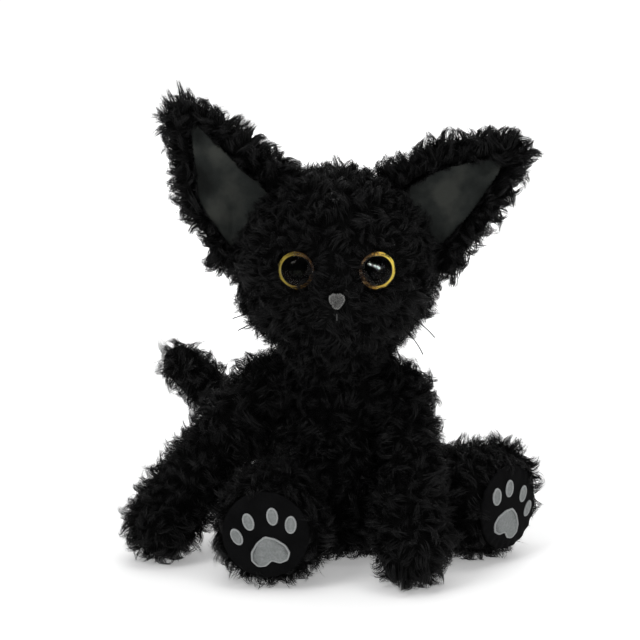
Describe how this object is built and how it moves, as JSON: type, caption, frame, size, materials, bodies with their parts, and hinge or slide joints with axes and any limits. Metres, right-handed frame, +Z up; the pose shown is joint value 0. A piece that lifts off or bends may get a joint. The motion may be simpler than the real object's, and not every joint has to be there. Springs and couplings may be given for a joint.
{
  "type": "plush cat",
  "caption": "Seated plush cat with curly black pile, large upright ears with velour linings, amber eyes, whiskers, embroidered soles and sewn limbs that flop.",
  "frame": {"origin": "on the seat's flat face, under the trunk, level with the floor", "axes": "+Z up, the face looks along -Y, +X is the cat's own left"},
  "size_m": [0.2065, 0.179, 0.2296],
  "materials": {
    "black_fur": "long curly pile",
    "ear_velour": "short velour",
    "sole_velour": "short velour",
    "print_thread": "satin and fill embroidery",
    "fibre_fill": "loose polyester fibre",
    "ear_batting": "thin felt",
    "bag_cloth": "plain woven cotton",
    "pellets": "small polyethylene pellets",
    "eye_clear": "clear polished acrylic",
    "eye_amber": "amber print",
    "eye_black": "gloss black",
    "post_plastic": "moulded",
    "washer_plastic": "moulded",
    "nose_flock": "flocked",
    "whisker_nylon": "nylon filament",
    "black_thread": "sewing thread",
    "mouth_thread": "sewing thread"
  },
  "bodies": {
    "torso": {"torso_fur_cover": "black_fur", "torso_stuffing": "fibre_fill", "pellet_bag": "bag_cloth", "pellet_fill": "pellets", "closing_seam_stitches": "black_thread"},
    "head": {"head_fur_cover": "black_fur", "head_stuffing": "fibre_fill", "nose": "nose_flock", "nose_lock_washer": "washer_plastic", "mouth_stitch": "mouth_thread", "left_eye_dome": "eye_clear", "left_eye_iris": "eye_amber", "left_eye_pupil": "eye_black", "left_eye_post": "post_plastic", "left_eye_lock_washer": "washer_plastic", "left_whiskers": "whisker_nylon", "right_eye_dome": "eye_clear", "right_eye_iris": "eye_amber", "right_eye_pupil": "eye_black", "right_eye_post": "post_plastic", "right_eye_lock_washer": "washer_plastic", "right_whiskers": "whisker_nylon"},
    "tail": {"tail_fur_cover": "black_fur", "tail_stuffing": "fibre_fill"},
    "left_ear": {"left_ear_fur_cover": "black_fur", "left_ear_batting": "ear_batting", "left_ear_lining": "ear_velour"},
    "left_foreleg": {"left_foreleg_fur_cover": "black_fur", "left_foreleg_stuffing": "fibre_fill"},
    "left_hindleg": {"left_hindleg_fur_cover": "black_fur", "left_hindleg_stuffing": "fibre_fill", "left_sole": "sole_velour", "left_sole_toe_prints": "print_thread", "left_sole_pad_print": "print_thread"},
    "right_ear": {"right_ear_fur_cover": "black_fur", "right_ear_batting": "ear_batting", "right_ear_lining": "ear_velour"},
    "right_foreleg": {"right_foreleg_fur_cover": "black_fur", "right_foreleg_stuffing": "fibre_fill"},
    "right_hindleg": {"right_hindleg_fur_cover": "black_fur", "right_hindleg_stuffing": "fibre_fill", "right_sole": "sole_velour", "right_sole_toe_prints": "print_thread", "right_sole_pad_print": "print_thread"}
  },
  "joints": [
    {"name": "head_turn", "type": "hinge", "parent": "torso", "child": "head", "pos_m": [-0.0015, -0.01, 0.10775], "axis": [0, 0, 1], "range_deg": [-25, 25]},
    {"name": "left_ear_fold", "type": "hinge", "parent": "head", "child": "left_ear", "pos_m": [0.0445, -0.004, 0.1715], "axis": [-0.5373, 0, 0.8434], "range_deg": [-20, 20], "stiffness_Nm_per_rad": 0.15},
    {"name": "left_foreleg_raise", "type": "hinge", "parent": "torso", "child": "left_foreleg", "pos_m": [0.022, -0.012, 0.082], "axis": [-1, 0, 0], "range_deg": [0, 40]},
    {"name": "left_hindleg_raise", "type": "hinge", "parent": "torso", "child": "left_hindleg", "pos_m": [0.035, 0.00684, 0.024], "axis": [-0.9397, -0.342, 0], "range_deg": [0, 8]},
    {"name": "right_ear_fold", "type": "hinge", "parent": "head", "child": "right_ear", "pos_m": [-0.0455, -0.004, 0.1755], "axis": [0.6004, 0, 0.7997], "range_deg": [-20, 20], "stiffness_Nm_per_rad": 0.15},
    {"name": "right_foreleg_raise", "type": "hinge", "parent": "torso", "child": "right_foreleg", "pos_m": [-0.022, -0.001, 0.085], "axis": [-1, 0, 0], "range_deg": [0, 40]},
    {"name": "right_hindleg_raise", "type": "hinge", "parent": "torso", "child": "right_hindleg", "pos_m": [-0.02326, -0.01436, 0.024], "axis": [-0.9397, -0.342, 0], "range_deg": [0, 8]},
    {"name": "tail_swing", "type": "hinge", "parent": "torso", "child": "tail", "pos_m": [-0.01468, 0.03859, 0.022], "axis": [-0.342, 0.9397, 0], "range_deg": [-15, 45], "stiffness_Nm_per_rad": 0.3}
  ]
}
